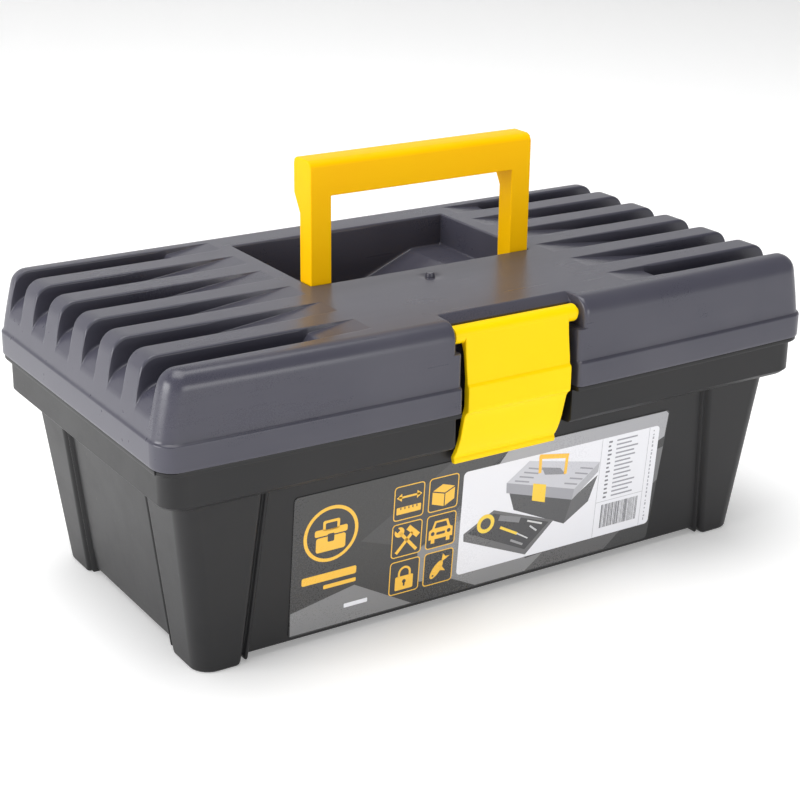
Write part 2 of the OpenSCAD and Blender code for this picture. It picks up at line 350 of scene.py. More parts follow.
floor_top, foot_h = 5.2, 3
levels = []
for z, panel_z, inset in ((0, 3, 1.0), (0.15, 3.15, 0.5), (0.5, 3.5, 0.12), (1.1, 4.1, 0), (14, 14, 0),
                          (32, 32, 0), (52, 52, 0), (70, 70, 0), (75.4, 75.4, 0), (76.2, 76.2, -0.3)):
    x, y = taper(z, 136, 145.4) - inset, taper(z, 65, 71.6) - inset
    step = taper(panel_z, 65, 71.6) - taper(panel_z, 63, 69.6, 3)
    levels.append(tub_level(z, x, -y, y, panel_z=panel_z, recess=step))
for z, x, y in ((76.3, 150.4, 76.0), (76.5, 151.5, 77.1), (76.9, 152.0, 77.6), (78.3, 153.2, 78.8),
                (90.7, 153.2, 78.8), (91.3, 153.5, 79.1)):
    levels.append(tub_level(z, x, -y, y, 9.0, bay=(taper(z, -69.9, -71.2, 76.3, rim_z), z)))
for z, x, front, back in ((91.5, 154.7, -82.3, 79.4), (91.6, 155.3, -82.9, 80.0),
                          (91.9, 155.5, -83.1, 80.2), (93.1, 155.5, -83.1, 80.2),
                          (93.4, 155.3, -82.9, 80.0), (rim_z, 154.8, -82.4, 79.5)):
    levels.append(tub_level(z, x, front, back, 9.0, bay=(-71.2, min(z, 93.2)), bows=1.0, hinge=77.35))
upstand = ((rim_z, 153.3, 78.3, -71.0), (93.8, 153.0, 78.0, -70.4), (96.1, 152.9, 77.9, -70.2),
           (96.5, 152.5, 77.5, -69.8), (96.5, 151.6, 76.6, -68.4), (96.1, 151.2, 76.2, -67.9))
for z, x, y, bay_front in upstand:
    levels.append(tub_level(z, x, -y, y, 9.0, bay=(bay_front, rim_z), inner=wall if x < 152 else 0.6,
                            hinge=min(y, 77.2)))
for z, x, y in ((92, 151.0, 76.6), (79.3, 151.0, 76.6), (78.7, 150.8, 76.4), (78.5, 150.2, 75.8)):
    levels.append(tub_level(z, x, -y, y, 8.0, bay=(-67.6, min(z, 92.8)), inner=wall))
for z, x, y, r in ((78.5, 142.1, 68.3, 6), (78.3, 141.5, 67.7, 6), (77.6, 141.2, 67.4, 6),
                   (60, 139.0, 65.8, 6), (35, 136.0, 63.7, 6), (8.2, 132.2, 61.2, 6),
                   (6.4, 131.6, 60.6, 5.5), (5.5, 130.6, 59.6, 4.8), (floor_top, 129.2, 58.2, 4.0)):
    levels.append(tub_level(z, x, -y, y, r))


def tub_floor(level, z, foot):
    def at(i, j):
        return ((level.line_x(i), level.line_y(j), z - foot * tub_x[i][3] * tub_y[j][3]),)
    return at


tub = cup("tub_shell", len(tub_x), len(tub_y), tub_floor(levels[0], foot_h, foot_h), levels,
          tub_floor(levels[-1], floor_top, 0))
soften(tub)
black_plastic = moulded("black polypropylene", (0.009, 0.009, 0.010), (0.017, 0.016, 0.017), 0.38, shine=0.36)
bound(tub, "box", "tub", black_plastic, "tub")

# -------- label
# A printed plastic sticker on the front panel, under clear gloss film. It has grey facets, six
# small signs in gold frames, a plain badge and a white window with a drawing of the box, lines of
# small print and a bar code. All of it is generic, and the lines of print are plain bars.

panel_foot, panel_foot_z = 63.01, 3.0
tilt = atan2(6.6, 75.5)
sheet_top = 0.3
gold, charcoal, silver = (0.93, 0.52, 0.03), (0.017, 0.017, 0.018), (0.36, 0.36, 0.38)
white, slate, pale = (0.80, 0.80, 0.84), (0.085, 0.083, 0.085), (0.45, 0.45, 0.48)


def on_panel(u, v, height=0.0):
    """A point on the front panel: u to the right, v up the panel, height out of it."""
    return (u, -panel_foot - v * sin(tilt) - height * cos(tilt),
            panel_foot_z + v * cos(tilt) - height * sin(tilt))


def round_rect(u, v, width, height, r=0.0, steps=4):
    """A rectangle about (u, v) with round corners."""
    turns = [(q, radians(90 * q + 90 * k / steps)) for q in range(4) for k in range(steps + 1)]
    signs = ((1, 1), (-1, 1), (-1, -1), (1, -1))
    return [(u + signs[q][0] * (width / 2 - r) + r * cos(a),
             v + signs[q][1] * (height / 2 - r) + r * sin(a)) for q, a in turns]


def disc(u, v, r, squeeze=1.0, turn=0.0, steps=28):
    turns = [tau * k / steps for k in range(steps)]
    ring = [(r * cos(a), r * squeeze * sin(a)) for a in turns]
    c, d = cos(turn), sin(turn)
    return [(u + x * c - y * d, v + x * d + y * c) for x, y in ring]


def strip(u0, v0, u1, v1, width):
    """A straight bar from one point to another."""
    length = hypot(u1 - u0, v1 - v0)
    du, dv = (v0 - v1) / length * width / 2, (u1 - u0) / length * width / 2
    return [(u0 + du, v0 + dv), (u0 - du, v0 - dv), (u1 - du, v1 - dv), (u1 + du, v1 + dv)]


class Print:
    """The sheet and every area of ink on it, each a thin closed layer a little above the last."""

    def __init__(self):
        self.points, self.faces, self.inks = [], [], []

    def layer(self, outline, ink, level, thick=0.1):
        top = sheet_top + 0.014 * level
        start, n = len(self.points), len(outline)
        for height in (top, top - thick):
            self.points += [on_panel(u, v, height) for u, v in outline]
        self.faces.append([start + k for k in range(n)])
        self.faces.append([start + n + k for k in reversed(range(n))])
        self.faces += [[start + k, start + n + k, start + n + (k + 1) % n, start + (k + 1) % n]
                       for k in range(n)]
        self.inks += [ink] * (n + 2)


label_print = Print()
paint = label_print.layer
corners = ((86, 2), (90.5, 64.5), (-95.5, 64.5), (-96, 2))
outline = []
for k, (u, v) in enumerate(corners):
    before, after = Vector(corners[k - 1]), Vector(corners[(k + 1) % 4])
    corner = Vector((u, v))
    a, b = (before - corner).normalized() * 2, (after - corner).normalized() * 2
    outline += [tuple(corner + a * (1 - q) ** 2 + b * q ** 2) for q in (0, 0.25, 0.5, 0.75, 1)]
paint(outline, charcoal, 0, sheet_top)
facets = (
    ([(-95.4, 2.6), (-38.3, 2.6), (-66.5, 18.8), (-95.6, 13)], (0.20, 0.20, 0.205)),
    ([(-64.5, 38.1), (-51.6, 46.1), (-23.3, 64.0), (5.6, 64.0), (-17.0, 36), (-36, 28)],
     (0.040, 0.040, 0.042)),
    ([(-37, 27), (-17.7, 43.3), (-10, 30), (19, 9), (28, 9.6), (19.1, 2.6), (-6.5, 2.6), (-19, 9), (-36, 12)],
     (0.22, 0.22, 0.225)),
    ([(-3.0, 57), (5.6, 64.2), (88.6, 64.2), (90.0, 62.8), (89.2, 52), (80, 48), (20, 50)], silver),
    ([(28, 9.6), (19.1, 2.6), (62, 2.6), (70, 9.6)], slate),
    ([(84, 46), (89.2, 47), (88.0, 31), (84, 28)], (0.14, 0.14, 0.145)),
)
for shape, ink in facets:
    paint(shape, ink, 1)

# badge: a gold ring round a plain box with its handle up, over two bars
badge_u, badge_v = -78.5, 45.2
paint(disc(badge_u, badge_v, 12.4, steps=48), gold, 2)
paint(disc(badge_u, badge_v, 10.9, steps=48), charcoal, 3)
for v, width, height, r, ink, level in ((41.0, 13.4, 6.6, 1.0, gold, 4), (46.4, 14.8, 3.0, 0.8, gold, 4),
                                        (49.2, 7.6, 4.6, 0.8, gold, 4), (48.9, 5.2, 2.8, 0.4, charcoal, 5),
                                        (43.6, 3.0, 3.6, 0.5, charcoal, 5), (26.0, 25.0, 3.6, 0.8, gold, 2)):
    paint(round_rect(badge_u, v, width, height, r), ink, level)
paint(round_rect(-73.5, 21.4, 15.0, 1.8, 0.5), gold, 2)
paint(round_rect(-65.5, 10.2, 11.0, 1.9, 0.3), white, 2)

# six signs in frames: length, size, hand tools, car, lock and fish
hasp = [(3.1 * cos(a), 3.1 * sin(a)) for a in (pi * k / 10 for k in range(11))]
hasp += [(2.1 * cos(a), 2.1 * sin(a)) for a in (pi * k / 10 for k in reversed(range(11)))]
hasp = [(2.1, -1.6), (3.1, -1.6)] + hasp[:11] + [(-3.1, -1.6), (-2.1, -1.6)] + hasp[11:]
bonnet = [(2.8, -3.6), (2.8, -5.4), (4.6, -5.4), (4.6, -3.6), (5.8, -3.6), (5.8, 0.6), (4.4, 1.4), (3.2, 4.8)]
car = bonnet + [(-u, v) for u, v in reversed(bonnet)]
signs = (
    ((strip(-5, 2.6, 5, 2.6, 0.9), [(-6, 2.6), (-3.6, 4.4), (-3.6, 0.8)], [(6, 2.6), (3.6, 0.8), (3.6, 4.4)],
      round_rect(0, -3.4, 11.6, 3.2, 0.4)), [strip(k * 1.9, -3.0, k * 1.9, -1.9, 0.5) for k in range(-2, 3)]),
    (([(-5.4, 1.4), (0.4, -0.4), (0.4, -6), (-5.4, -4)], [(0.9, -0.4), (5.4, 1.6), (5.4, -3.6), (0.9, -6)],
      [(-5.2, 1.9), (-0.6, 4.2), (5.3, 2.2), (0.6, 0.1)]), ()),
    ((strip(-4.8, -5.8, 2.6, 2.6, 1.5), strip(0.4, 5.4, 5.4, 0.6, 2.4), strip(4.9, -5.8, -3.2, 3.4, 1.4),
      disc(-3.7, 3.9, 2.3)), [strip(-4.0, 4.3, -6.4, 6.8, 1.7)]),
    ([car], ([(-3.2, 1.5), (3.2, 1.5), (2.4, 3.9), (-2.4, 3.9)], disc(-3.9, -0.9, 0.9), disc(3.9, -0.9, 0.9),
             round_rect(0, -1.2, 4.2, 1.2, 0.3))),
    ((round_rect(0, -2.8, 8.6, 6.4, 0.6), [(u, v + 1.8) for u, v in hasp]),
     (disc(0, -2.2, 0.9), strip(0, -2.4, 0, -4.4, 0.8))),
    ((disc(-0.8, -1.0, 4.6, 0.42, 0.95), [(1.4, 2.0), (2.0, 6.0), (3.4, 4.4), (5.4, 4.4)],
      [(0.6, -1.6), (3.6, -2.4), (1.6, 0.4)]), [disc(-2.4, -3.6, 0.45)]),
)
sign_u, sign_v = (-42.7, -26.2), (50.9, 33.8, 16.4)
for number, (bright, dark) in enumerate(signs):
    u, v = sign_u[number % 2], sign_v[number // 2]
    paint(round_rect(u, v, 14.4, 15.6, 1.6), gold, 2)
    paint(round_rect(u, v, 13.5, 14.7, 1.2), charcoal, 3)
    for shapes, ink, level in ((bright, gold, 4), (dark, charcoal, 5)):
        for shape in shapes:
            paint([(u + du, v + dv) for du, dv in shape], ink, level)

# white window with the drawing of the open box and its tray
paint(round_rect(34.6, 33.9, 102.6, 48.2, 2.0), white, 2)
paint(strip(54.6, 10.2, 54.6, 57.8, 0.25), pale, 3)
paint(strip(80.4, 10.2, 80.4, 57.8, 0.25), pale, 3)
paint(strip(54.6, 27.0, 80.4, 27.0, 0.25), pale, 3)
stripe, tool_grey, amber = (0.30, 0.30, 0.33), (0.62, 0.62, 0.62), (0.90, 0.62, 0.04)
drawing = (
    ([(7.2, 43.0), (40.9, 32.4), (37.9, 21.1), (10.2, 34.4)], (0.06, 0.06, 0.065)),
    ([(40.9, 32.4), (53.9, 41.0), (50.1, 29.1), (37.9, 21.1)], (0.10, 0.10, 0.105)),
    ([(5.3, 48.2), (41.7, 37.0), (41.0, 32.0), (5.6, 43.4)], (0.33, 0.33, 0.36)),
    ([(41.7, 37.0), (54.3, 47.2), (53.9, 42.6), (41.0, 32.0)], (0.42, 0.42, 0.45)),
    ([(5.3, 48.2), (16.2, 56.0), (54.3, 47.2), (41.7, 37.0)], (0.56, 0.56, 0.60)),
    *((strip(9.5 + 2.2 * k, 48.2 + 1.5 * k, 17 + 2.2 * k, 46.0 + 1.5 * k, 0.7), stripe) for k in range(4)),
    *((strip(36 + 2.6 * k, 41.0 + 1.9 * k, 43 + 2.6 * k, 39.0 + 1.9 * k, 0.7), stripe) for k in range(4)),
    ([(23, 51.5), (33, 49.0), (36, 45.4), (25, 47.6)], (0.24, 0.24, 0.26)),
    ([(19.3, 44.8), (26.2, 42.7), (26.4, 34.2), (19.4, 36.7)], (0.93, 0.60, 0.02)),
    (strip(22.2, 49.0, 21.9, 57.2, 1.5), gold), (strip(21.3, 56.8, 36.8, 54.0, 2.1), gold),
    (strip(35.8, 45.6, 36.0, 54.6, 1.5), gold),
    ([(-14.6, 28.9), (0.0, 36.7), (32.1, 24.3), (18.5, 10.9), (-14.4, 25.4)], (0.12, 0.12, 0.125)),
    ([(-12.6, 28.7), (0.0, 35.2), (29.6, 24.1), (17.9, 13.6)], (0.035, 0.035, 0.04)),
    (disc(-3.7, 31.2, 4.4), amber), (disc(-3.7, 31.2, 2.6), (0.05, 0.05, 0.05)),
    (strip(3.0, 32.4, 14.0, 28.8, 2.6), (0.20, 0.20, 0.21)), (strip(4.0, 27.6, 13.2, 22.4, 1.2), amber),
    (strip(13.0, 22.6, 19.0, 18.8, 0.6), tool_grey), (strip(18.0, 27.4, 26.0, 24.2, 0.8), tool_grey),
    (strip(19.6, 24.6, 23.4, 21.4, 0.8), (0.55, 0.55, 0.56)),
    (strip(10.0, 20.0, 16.6, 16.4, 1.0), (0.30, 0.30, 0.31)),
)
for number, (shape, ink) in enumerate(drawing):
    paint(shape, ink, 3 + number * 0.25)
label = new_piece("label_sheet", label_print.points, label_print.faces, ink=label_print.inks)

gloss_film = Finish("printed film", IOR=1.5, Coat_Weight=0.35, Coat_Roughness=0.12)
ink = gloss_film.node("ShaderNodeAttribute", {"attribute_name": "ink"})
dots = gloss_film.noise(1800, 1)
wavy = gloss_film.noise(26, 1)
gloss_film.surface(gloss_film.colours(dots * 0.06, ink, (0.5, 0.5, 0.5, 1)), dots * 0.05 + wavy * 0.08 + 0.22,
                   ((wavy, 0.05), (dots, 0.002)))


def shape_tree(name, **inputs):
    """An empty Geometry Nodes tree with named inputs, its input node and its output node."""
    tree = bpy.data.node_groups.new(name, "GeometryNodeTree")
    tree.interface.new_socket("Geometry", in_out="INPUT", socket_type="NodeSocketGeometry")
    for key, kind in inputs.items():
        tree.interface.new_socket(key.replace("_", " "), in_out="INPUT", socket_type="NodeSocket" + kind)
    tree.interface.new_socket("Geometry", in_out="OUTPUT", socket_type="NodeSocketGeometry")
    graph = Graph(tree)
    given = tree.nodes.new("NodeGroupInput")
    return graph, {socket.name: Value(graph, socket) for socket in given.outputs if socket.name}


def finish_tree(graph, geometry, material):
    real = graph.node("GeometryNodeRealizeInstances", {}, {0: geometry})
    dressed = graph.node("GeometryNodeSetMaterial", {}, {"Geometry": real, "Material": material})
    end = graph.tree.nodes.new("NodeGroupOutput")
    graph.feed(end.inputs[0], dressed)
    return graph.tree


def grow(piece, tree, **sizes):
    """Runs a tree on a piece with the given sizes and keeps the result as a plain mesh."""
    modifier = piece.modifiers.new("grow", "NODES")
    modifier.node_group = tree
    for item in tree.interface.items_tree:
        key = item.name.replace(" ", "_")
        if item.in_out == "INPUT" and key in sizes:
            modifier[item.identifier] = sizes[key]
    shape = piece.evaluated_get(bpy.context.evaluated_depsgraph_get())
    mesh = bpy.data.meshes.new_from_object(shape)
    piece.modifiers.clear()
    piece.data = mesh


# lines of small print and the bars of the code: one bar repeated along a line, with ragged lengths
rows, given = shape_tree("rows of bars", Start="Vector", Step="Vector", Count="Int", Shortest="Vector",
                         Longest="Vector", Seed="Int")
line = rows.node("GeometryNodeMeshLine", {"mode": "OFFSET"},
                 {"Count": given["Count"], "Start Location": given["Start"], "Offset": given["Step"]})
ragged = rows.node("FunctionNodeRandomValue", {"data_type": "FLOAT_VECTOR"},
                   {0: given["Shortest"], 1: given["Longest"], "Seed": given["Seed"]})
bars = rows.node("GeometryNodeInstanceOnPoints", {},
                 {"Points": line, "Instance": given["Geometry"], "Scale": ragged})
row_tree = finish_tree(rows, bars, gloss_film.material)
origin = Vector(on_panel(0, 0, sheet_top))
# name, start, step, count, size of a bar, its least and most stretch, and its ink
small_print = (
    ("label_print_lines", (62.6, 55.6), (0.0, -2.05), 14, (13.5, 0.75), (0.55, 1, 1), (1.0, 1, 1), stripe),
    ("label_print_signs", (58.2, 55.6), (0.0, -2.05), 14, (2.2, 0.85), (0.6, 1, 1), (1.0, 1, 1),
     (0.16, 0.16, 0.18)),
    ("label_print_edge", (82.6, 12.6), (0.0, 1.9), 24, (0.9, 1.2), (0.5, 0.6, 1), (1.0, 1, 1),
     (0.35, 0.35, 0.38)),
    ("label_bar_code", (58.0, 19.6), (0.66, 0.0), 31, (0.42, 11.4), (0.45, 1, 1), (1.25, 1, 1),
     (0.08, 0.08, 0.09)),
)
for seed, (name, start, step, count, size, least, most, shade) in enumerate(small_print):
    bar = Print()
    tall = size[1] / 2
    bar.layer([(0, -tall), (size[0], -tall), (size[0], tall), (0, tall)], shade, 3)
    piece = new_piece(name, [tuple(Vector(p) - origin) for p in bar.points], bar.faces, ink=bar.inks)
    grow(piece, row_tree, Start=[c * MM for c in on_panel(*start, sheet_top)],
         Step=[c * MM for c in Vector(on_panel(*step)) - Vector(on_panel(0, 0))],
         Count=count, Shortest=least, Longest=most, Seed=seed + 3)
    bound(piece, "box", "label", gloss_film.material)
bound(label, "box", "label", gloss_film.material, "label")

# -------- tray
# The lift-out tray is a thinner black moulding that hangs by its rim on the ledge inside the tub:
# one long compartment across the left end, four small ones behind, and a long and a short one in front.

tray_top, tray_floor = 80.9, 51.7
tray_foot, foot_x, foot_y = 49.9, 130, 57
bins = [(-132, -59, -58, 58)]
bins += [(x, 12, x + w, 58) for x, w in ((-56, 45.5), (-8.5, 45.5), (39, 45.5), (86.5, 44))]
bins += [(-56, -59, 88, 10), (90, -59, 132, 10)]
bin_edge = edge_profile(tray_top - tray_floor, 0.5, 1.8, 0.3)


def into_bin(gap):
    """Share of the full depth at a distance inside a bin's edge; negative is on the divider."""
    steps = [(-off, share) for off, share in bin_edge]
    if gap <= steps[0][0]:
        return 0.0
    for (g0, s0), (g1, s1) in zip(steps, steps[1:]):
        if gap <= g1:
            return mix(s0, s1, (gap - g0) / max(g1 - g0, 1e-6))
    return 1.0


def lines_for(edges, end, more):
    """Lines at every point of the bins' edges; an edge is (place, side its bin lies on)."""
    found = {round(place - side * off, 3) for place, side in edges for off, _ in bin_edge}
    found = sorted(found | {round(m, 3) for m in more})
    kept = [-end]
    for place in found:
        if place - kept[-1] > 0.02 and end - place > 0.02:
            kept.append(place)
    return kept + [end]


tray_x, tray_y, tray_r = 149.8, 75.2, 8.0
notch_x, notch_y = 33.0, -64.6
notch_lines = [side * (notch_x + d) for side in (-1, 1) for d in (-0.6, -0.1, 0.1, 0.8)]
bin_x = lines_for([(b[0], 1) for b in bins] + [(b[2], -1) for b in bins], tray_x - tray_r, notch_lines + [0])
bin_y = lines_for([(b[1], 1) for b in bins] + [(b[3], -1) for b in bins], tray_y - tray_r, [-62.4, 0])


def tray_last(i, j):
    x, y = bin_x[i], bin_y[j]
    deep = max(min(into_bin(x - left), into_bin(right - x)) * min(into_bin(y - front), into_bin(back - y))
               for left, front, right, back in bins)
    if j == 0 and abs(x) < notch_x:
        y = notch_y + 0.8
    return ((x, y, tray_top - deep * (tray_top - tray_floor)),)


def tray_ring(z, half_x, half_y, notched):
    def at(i, j, facing):
        c, s = cos(radians(facing)), sin(radians(facing))
        x = bin_x[i] * (half_x - tray_r) / (tray_x - tray_r) + tray_r * c
        y = bin_y[j] * (half_y - tray_r) / (tray_y - tray_r) + tray_r * s
        if notched is not None and facing == -90 and abs(x) < notch_x:
            y = notched
        return ((x, y, z),)
    return at


def tray_first(i, j):
    return ((bin_x[i] * (foot_x - tray_r) / (tray_x - tray_r),
             bin_y[j] * (foot_y - tray_r) / (tray_y - tray_r), tray_foot),)


tray_levels = ((49.9, 130.2, 57.2, None), (50.1, 130.8, 57.8, None), (50.8, 131.1, 58.1, None),
               (65, 134.1, 60.8, None), (78.0, 136.8, 63.2, None), (78.7, 137.3, 63.7, -63.7),
               (78.75, 149.3, 74.7, -64.2), (79.0, 149.8, 75.2, notch_y), (80.5, 149.8, 75.2, notch_y),
               (80.8, 149.6, 75.0, notch_y + 0.2), (80.9, 149.2, 74.6, notch_y + 0.5))
tray = cup("tray_shell", len(bin_x), len(bin_y), tray_first, [tray_ring(*level) for level in tray_levels],
           tray_last)
soften(tray)
tray_plastic = moulded("black tray polypropylene", (0.038, 0.038, 0.040), (0.052, 0.051, 0.053), 0.42, 0.016)
bound(tray, "tray", "tray", tray_plastic, "tray")

# -------- lid
# The lid is moulded in blue-grey polypropylene. Its top is flat in the middle, round the well that takes
# the folded handle, and is ribbed towards both ends by channels that sink along ramps and roll over
# the ends. The front is cut back in a bay for the latch.

top_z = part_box("lid")[1].z / MM
pitch, ridge = 24.9, 11.8
channel_depth = 10.4
channel_half = (pitch - ridge) / 2
centre_x, centre_front, centre_back = 147.2, -74.1, 72.0
lid_x = half_l - 0.8
lid_front, lid_back = -82.1, 80.0
top_round, end_round = 7.0, 9.5
well_x, well_front, well_back = 54.45, -10.5, 58.3
end_lean, back_lean, lean_from, lean_to = 3.9, 1.5, 103.5, 124.0
ramp_x, ramp_foot, outer_ramp_foot = 61.5, 107.0, 82.0
drop_run, foot_depth, ramp_slope, crease = 5.0, 5.4, 0.12, 0.4
channel_from, roll_from, step_z = 58.5, 145.8, 110.1
shelf_z, pocket_z, shelf_x, pocket_x = 115.4, 104.0, 37.6, 10.0
socket_x, socket_z, notch_z = 31.0, 117.5, 96.8
bay_y, bevel, behind_edge = -71.4, 3.4, -70.6
nub_x, nub_y, nub_reach, nub_dip = -4.6, -22.4, 6.0, 0.8

rib_edge = edge_profile(channel_depth, 1.15, 1.3, 0.25)
well_edge = edge_profile(14.6, 0.9, 1.0, 0.2)
bay_side = edge_profile(10.7, 2.0, 0.8, 0.1)

# lines along the lid's length: place, how far it moves out on the inner skin, share in the bay, in the well
line_x = [(x, 0, 1, 1) for x in (0, 1, 2.2, 3.4, 4.6, 5.8, 7.0, 8.4, 9.4, 10.6, 16, 24)]
line_x += [(socket_x + off, 1, share, 1) for off, share in reversed(bay_side)]
line_x += [(36.9, 0, 0, 1), (38.3, 0, 0, 1), (46, 0, 0, 1)]
line_x += [(well_x + off, 1, 0, share) for off, share in reversed(well_edge)]
line_x += [(x, 0, 0, 0) for x in (58.6, 61.1, 61.5, 61.9, 64, 68, 71, 74.3, 74.5, 78, 81.5, 82, 82.5, 83.8,
                                  84.0, 86.5, 87, 87.5, 92, 99.9, 100.1, 104, 106.5, 107, 107.5, 109.5,
                                  109.7, 111.5, 112, 112.5, 118, 126, 133, 139, 143, 145.4, centre_x)]
line_x = across(line_x)

# lines along its depth: place, how far it moves out on the inner skin, and share in the well; one that
# crosses the well's front edge has no share yet, and goes if it lies too close to that edge
line_y = []
for k, in_well in enumerate((0, 0, None, 1, 1, 0)):
    middle = (k - 2.5) * pitch
    for side in (-1, 1):
        share = 1 if k == 5 and side < 0 else in_well
        line_y += [(middle + side * (channel_half + off), side, share) for off, _ in rib_edge]
    line_y.append((middle, 0, in_well))
line_y += [(y, 0, 0) for y in (-27.6, -26, -24.8, -23.6, -22.4, -21.2)]
line_y = [(y, moves, int(y > well_front) if share is None else share) for y, moves, share in line_y
          if share is not None or not -4 < y - well_front < 3.4]
line_y += [(well_front - off, -1, share) for off, share in well_edge]
line_y += [(well_back + off, 1, share) for off, share in well_edge]
line_y = [("edge", 0, 0), ("edge", 0.55, 0), *sorted(line_y), ("back", 0, 0)]


def y_at(j, x, t):
    """Place of line j at x on the outer skin (t = 0) or the inner one (t = wall)."""
    y, moves, _ = line_y[j]
    if y == "edge":
        return mix(centre_front + bowed(x), behind_edge - t, moves)
    if y == "back":
        return centre_back
    return y + moves * t


def x_at(i, t):
    x, moves, *_ = line_x[i]
    return x + copysign(moves * t, x) if x else x


def along_corners(corners, place):
    """Height at a place along a line of straight stretches."""
    for (x0, d0), (x1, d1) in zip(corners, corners[1:]):
        if place <= x1:
            return mix(d0, d1, (place - x0) / (x1 - x0))


def fall(x, y, t):
    """Depth of a channel's floor below the lid's top at x."""
    foot = outer_ramp_foot if abs(y) > 2 * pitch else ramp_foot
    at_foot = foot_depth - (ramp_foot - foot) * ramp_slope
    low = channel_depth
    corners = [(0, 0), (ramp_x, 0), (foot, at_foot), (foot + drop_run, low), (half_l, low)]
    return sum(along_corners(corners, abs(x) + t + shift) for shift in (-crease, 0, crease)) / 3


def well_depth(x):
    pocket, shelf = top_z - pocket_z, top_z - shelf_z
    return along_corners([(0, pocket), (pocket_x, pocket), (shelf_x, shelf), (half_l, shelf)], abs(x))


def rolled(share, t):
    """Point on a channel's floor where it rolls over the end, as (x, z)."""
    r = end_round - t
    turn = share * pi / 2
    return centre_x - 1.5 + r * sin(turn), top_z - channel_depth - end_round + r * cos(turn)


bay_rows = sum(1 for j in range(len(line_y)) if y_at(j, 0, 0) < bay_y + bevel)


def bay_place(row, t):
    """The bay's bevelled back edge, row by row from the wall up to the top."""
    share = (row + 1) / (bay_rows + 0.6)
    return bay_y + t + bevel * share, top_z - t - bevel * (1 - share)


def lid_top(t):
    def at(i, j):
        x, z = x_at(i, t), top_z - t
        y = y_at(j, x, t)
        if abs(x) > channel_from:
            floor = (x, y, z - fall(x, y, t))
            if abs(x) > roll_from:
                end, foot = rolled(0.08, t)
                floor = (copysign(end, x), y, foot)
            return (x, y, z), floor, float(t)
        z -= line_x[i][3] * line_y[j][2] * well_depth(x)
        off_nub = hypot(x - nub_x, y - nub_y)
        if t == 0 and off_nub < nub_reach:
            z -= nub_dip / 2 * (1 + cos(pi * off_nub / nub_reach))
        if j < bay_rows:
            in_bay = line_x[i][2]
            by, bz = bay_place(j, t)
            y, z = mix(y, by, in_bay), mix(z, bz, in_bay)
        return (x, y, z), (x, y, z), float(t)
    return at


def lid_ring(z, out_x, out_front, out_back, t, channel=None, bay=None, narrow=0.0):
    """A ring round the lid; channel is its share of the roll over the end, bay its (y, z) in the bay."""
    def at(i, j, facing):
        c, s = cos(radians(facing)), sin(radians(facing))
        x0 = x_at(i, t)
        y0 = y_at(j, x0, t)
        if facing == -90 and narrow and 26 < abs(x0) < 36:
            x0 -= copysign(narrow, x0)
        reach_y = centre_front - out_front if s < 0 else out_back - centre_back
        x, y, pz = x0 + c * (out_x - centre_x), y0 + s * reach_y, z
        if facing == -90 and bay:
            share = line_x[i][2]
            y, pz = mix(y, bay[0], share), mix(pz, bay[1], share)
        if facing == 90 and (74.4 < abs(x) < 83.9 or 100 < abs(x) < 109.6):
            pz = max(pz, notch_z)
        floor = (x, y, pz)
        if channel is not None and facing in (0, 180):
            rx, rz = rolled(channel, t)
            floor = (copysign(rx, x), y, rz)
        return (x, y, pz), floor, float(t)
    return at


def rounding(t, steps=7):
    r = top_round - t
    for k in range(steps + 1):
        turn = pi / 2 * k / steps
        out = r * (1 - sin(turn))
        z = top_z - top_round + r * cos(turn)
        yield z, lid_x - t - out, lid_front + t + out, lid_back - t - out, k / steps


tucked = 2.7
skins = []
for t in (0.0, wall):
    rings = []
    for z, x, front, back, part in rounding(t):
        bay_z = min(z, top_z - t - bevel * (1 - 0.5 / (bay_rows + 0.6)) - 0.1 - part)
        rings.append(lid_ring(z, x, front, back, t, channel=0.12 + part * 0.5, bay=(bay_y + t, bay_z)))
    side = (lid_x - t, lid_front + t, lid_back - t, t)
    for z, roll in ((120.6, 0.72), (socket_z + 0.3 - t, 0.82)):
        rings.append(lid_ring(z, *side, channel=roll, bay=(bay_y + t, z)))
    rings.append(lid_ring(socket_z - t, *side, channel=0.86, bay=(bay_y + t, socket_z - t), narrow=tucked))
    for z, roll in ((113.5, 0.93), (step_z, 1.0)):
        rings.append(lid_ring(z, *side, channel=roll, bay=(bay_y + t, z), narrow=tucked))
    skins.append(rings)
outer, inner = skins
for z, grow_x, front, back in ((105.2, 0, 0, 0), (104.3, 0.05, -0.1, 0.05), (103.98, 0.3, -0.6, 0.25),
                               (103.7, 0.6, -1.2, 0.45), (103.2, 0.8, -1.5, 0.6), (95.0, 0.8, -1.5, 0.6),
                               (93.9, 0.75, -1.42, 0.55), (93.5, 0.4, -1.1, 0.25)):
    outer.append(lid_ring(z, lid_x + grow_x, lid_front + front, lid_back + back, 0.0, bay=(bay_y, z),
                          narrow=tucked))
for z, grow_x, front, back in ((104.3, 0, 0, 0), (103.9, 0.5, -0.9, 0.3), (103.2, 0.8, -1.5, 0.6),
                               (94.0, 0.8, -1.5, 0.6), (93.5, 1.1, -1.8, 0.9)):
    inner.append(lid_ring(z, lid_x - wall + grow_x, lid_front + wall + front, lid_back - wall + back, wall,
                          bay=(bay_y + wall, z), narrow=tucked))


def grown(place, start, end):
    """Share of the way from start to end, between 0 and 1."""
    return min(max((place - start) / (end - start), 0), 1)


def leaned(point):
    """The ends and the back of the lid lean in towards the rounding along its top."""
    x, y, z = (c / MM for c in point)
    lean = grown(z, lean_from, lean_to) ** 1.15
    x -= copysign(end_lean * lean * grown(abs(x), 112, 147), x)
    y -= back_lean * lean * grown(y, 62, 72)
    return Vector((x * MM, y * MM, z * MM))


